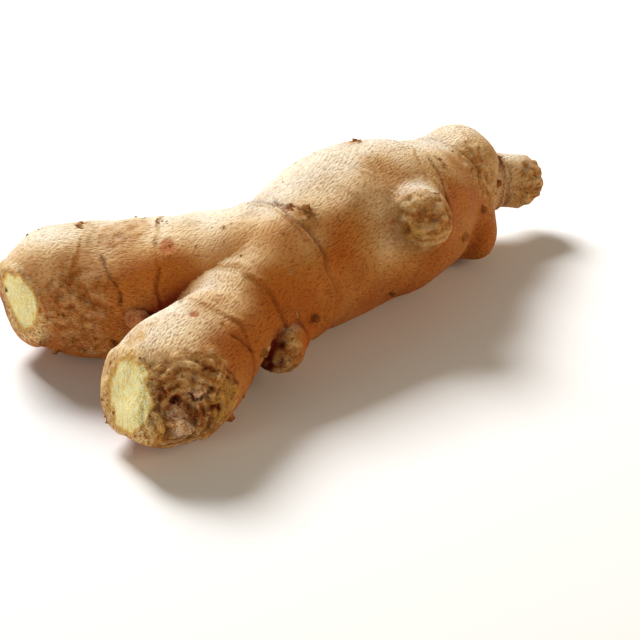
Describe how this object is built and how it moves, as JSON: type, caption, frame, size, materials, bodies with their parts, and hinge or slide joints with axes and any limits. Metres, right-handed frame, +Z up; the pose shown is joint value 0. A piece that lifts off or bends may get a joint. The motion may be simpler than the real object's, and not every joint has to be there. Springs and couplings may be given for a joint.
{
  "type": "ginger root",
  "caption": "Fresh ginger rhizome with knobbly branching fingers, ringed tan skin, broken end scars and a dried bark tip, lying on its side.",
  "frame": {"origin": "middle of the box round the root, on the surface that it lies on", "axes": "+X along the rhizome from the finger with the large pale scar towards the thin brown-tipped finger, +Z up"},
  "size_m": [0.1527, 0.0847, 0.0408],
  "materials": {
    "ginger_skin": "thin papery tan skin, finely wrinkled, matt with a faint waxy sheen; pale yellow fibrous flesh on the broken scars and brown bark on old ends"
  },
  "bodies": {
    "root": {"rhizome": "ginger_skin"}
  },
  "joints": []
}
